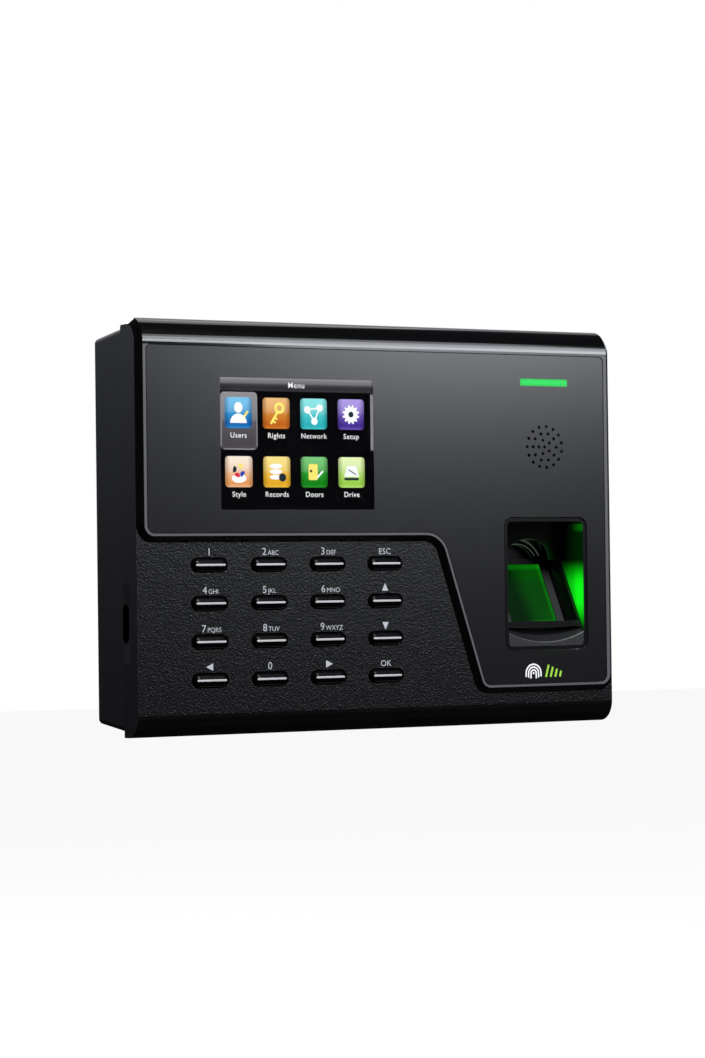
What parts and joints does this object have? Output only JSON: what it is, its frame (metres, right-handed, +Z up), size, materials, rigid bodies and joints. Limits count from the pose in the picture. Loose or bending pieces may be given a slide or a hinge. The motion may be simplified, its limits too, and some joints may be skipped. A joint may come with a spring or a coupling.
{
  "type": "wall-mounted fingerprint terminal",
  "caption": "Wall-mounted fingerprint terminal: rolled-top black case with colour display, bar keypad, speaker grille, status light and a recessed tilted optical sensor.",
  "frame": {"origin": "centre of the four wall-screw holes, on the wall plane behind the plate", "axes": "+X to the right seen from the front, +Y into the wall, +Z up; the fascia faces -Y"},
  "size_m": [0.203, 0.0447, 0.15],
  "materials": {
    "case_front": "satin bluish-black moulded ABS, fine leather grain on the keypad face",
    "fascia": "smoked polycarbonate inlay with a satin hard coat",
    "window_lens": "clear hard-coated window",
    "light_guide": "frosted light guide lit green",
    "case_rear": "fine spark-eroded black ABS",
    "plate_steel": "zinc-plated steel sheet",
    "screw_steel": "zinc-plated steel",
    "spring_steel": "bright nickel-plated steel",
    "display_glass": "liquid crystal panel, lit menu picture",
    "white_plastic": "white moulded plastic",
    "ribbon": "flat flexible cable",
    "silicone": "grey silicone",
    "circuit_board": "green solder mask on glass-fibre board",
    "bezel_plastic": "glossy black ABS",
    "rest_plastic": "dark grey satin ABS",
    "prism_glass": "optical glass lit green from behind",
    "frame_plastic": "dark grey plastic",
    "green_led": "green light-emitting diode",
    "speaker_film": "black mylar cone",
    "terminal_plastic": "green polyamide terminal housing",
    "black_plastic": "black moulded plastic",
    "cell_steel": "bright steel cell can",
    "key_gloss": "glossy black key with a bright line along its ridge"
  },
  "bodies": {
    "case": {"front_cover": "case_front", "fascia_panel": "fascia", "display_window": "window_lens", "status_light_guide": "light_guide", "rear_cover": "case_rear", "cover_screws": "screw_steel", "wall_plate": "plate_steel", "plate_lock_screw": "screw_steel", "lcd_panel": "display_glass", "lcd_backlight": "white_plastic", "lcd_tray": "spring_steel", "lcd_ribbon": "ribbon", "key_mat": "silicone", "keypad_board": "circuit_board", "keypad_ribbon": "ribbon", "sensor_bezel": "bezel_plastic", "finger_rest": "rest_plastic", "sensor_prism": "prism_glass", "sensor_glass_frame": "frame_plastic", "sensor_housing": "bezel_plastic", "sensor_board": "circuit_board", "sensor_camera": "bezel_plastic", "sensor_leds": "green_led", "speaker_basket": "spring_steel", "speaker_cone": "speaker_film", "status_light_board": "circuit_board", "status_leds": "green_led", "main_board": "circuit_board", "terminal_blocks": "terminal_plastic", "terminal_screws": "screw_steel", "power_jack": "black_plastic", "ethernet_jack": "black_plastic", "relay": "black_plastic", "processor": "black_plastic", "shield_can": "spring_steel", "battery_holder": "black_plastic", "coin_cell": "cell_steel", "board_screws": "screw_steel", "usb_socket": "spring_steel", "usb_tongue": "black_plastic", "usb_board": "circuit_board", "tamper_switch": "black_plastic", "tamper_spring": "spring_steel"},
    "key_1_cap": {"key_1": "key_gloss"},
    "key_2_cap": {"key_2": "key_gloss"},
    "key_3_cap": {"key_3": "key_gloss"},
    "key_esc_cap": {"key_esc": "key_gloss"},
    "key_4_cap": {"key_4": "key_gloss"},
    "key_5_cap": {"key_5": "key_gloss"},
    "key_6_cap": {"key_6": "key_gloss"},
    "key_up_cap": {"key_up": "key_gloss"},
    "key_7_cap": {"key_7": "key_gloss"},
    "key_8_cap": {"key_8": "key_gloss"},
    "key_9_cap": {"key_9": "key_gloss"},
    "key_down_cap": {"key_down": "key_gloss"},
    "key_left_cap": {"key_left": "key_gloss"},
    "key_0_cap": {"key_0": "key_gloss"},
    "key_right_cap": {"key_right": "key_gloss"},
    "key_ok_cap": {"key_ok": "key_gloss"},
    "tamper_pin": {"tamper_plunger": "white_plastic"}
  },
  "joints": [
    {"name": "key_1_press", "type": "slide", "parent": "case", "child": "key_1_cap", "axis": [0, 1, 0], "range_m": [0, 0.001], "stiffness_N_per_m": 1500, "deforming": ["key_mat"]},
    {"name": "key_2_press", "type": "slide", "parent": "case", "child": "key_2_cap", "axis": [0, 1, 0], "range_m": [0, 0.001], "stiffness_N_per_m": 1500, "deforming": ["key_mat"]},
    {"name": "key_3_press", "type": "slide", "parent": "case", "child": "key_3_cap", "axis": [0, 1, 0], "range_m": [0, 0.001], "stiffness_N_per_m": 1500, "deforming": ["key_mat"]},
    {"name": "key_esc_press", "type": "slide", "parent": "case", "child": "key_esc_cap", "axis": [0, 1, 0], "range_m": [0, 0.001], "stiffness_N_per_m": 1500, "deforming": ["key_mat"]},
    {"name": "key_4_press", "type": "slide", "parent": "case", "child": "key_4_cap", "axis": [0, 1, 0], "range_m": [0, 0.001], "stiffness_N_per_m": 1500, "deforming": ["key_mat"]},
    {"name": "key_5_press", "type": "slide", "parent": "case", "child": "key_5_cap", "axis": [0, 1, 0], "range_m": [0, 0.001], "stiffness_N_per_m": 1500, "deforming": ["key_mat"]},
    {"name": "key_6_press", "type": "slide", "parent": "case", "child": "key_6_cap", "axis": [0, 1, 0], "range_m": [0, 0.001], "stiffness_N_per_m": 1500, "deforming": ["key_mat"]},
    {"name": "key_up_press", "type": "slide", "parent": "case", "child": "key_up_cap", "axis": [0, 1, 0], "range_m": [0, 0.001], "stiffness_N_per_m": 1500, "deforming": ["key_mat"]},
    {"name": "key_7_press", "type": "slide", "parent": "case", "child": "key_7_cap", "axis": [0, 1, 0], "range_m": [0, 0.001], "stiffness_N_per_m": 1500, "deforming": ["key_mat"]},
    {"name": "key_8_press", "type": "slide", "parent": "case", "child": "key_8_cap", "axis": [0, 1, 0], "range_m": [0, 0.001], "stiffness_N_per_m": 1500, "deforming": ["key_mat"]},
    {"name": "key_9_press", "type": "slide", "parent": "case", "child": "key_9_cap", "axis": [0, 1, 0], "range_m": [0, 0.001], "stiffness_N_per_m": 1500, "deforming": ["key_mat"]},
    {"name": "key_down_press", "type": "slide", "parent": "case", "child": "key_down_cap", "axis": [0, 1, 0], "range_m": [0, 0.001], "stiffness_N_per_m": 1500, "deforming": ["key_mat"]},
    {"name": "key_left_press", "type": "slide", "parent": "case", "child": "key_left_cap", "axis": [0, 1, 0], "range_m": [0, 0.001], "stiffness_N_per_m": 1500, "deforming": ["key_mat"]},
    {"name": "key_0_press", "type": "slide", "parent": "case", "child": "key_0_cap", "axis": [0, 1, 0], "range_m": [0, 0.001], "stiffness_N_per_m": 1500, "deforming": ["key_mat"]},
    {"name": "key_right_press", "type": "slide", "parent": "case", "child": "key_right_cap", "axis": [0, 1, 0], "range_m": [0, 0.001], "stiffness_N_per_m": 1500, "deforming": ["key_mat"]},
    {"name": "key_ok_press", "type": "slide", "parent": "case", "child": "key_ok_cap", "axis": [0, 1, 0], "range_m": [0, 0.001], "stiffness_N_per_m": 1500, "deforming": ["key_mat"]},
    {"name": "tamper_press", "type": "slide", "parent": "case", "child": "tamper_pin", "axis": [0, -1, 0], "range_m": [0, 0.002], "stiffness_N_per_m": 600, "deforming": ["tamper_spring"]}
  ]
}
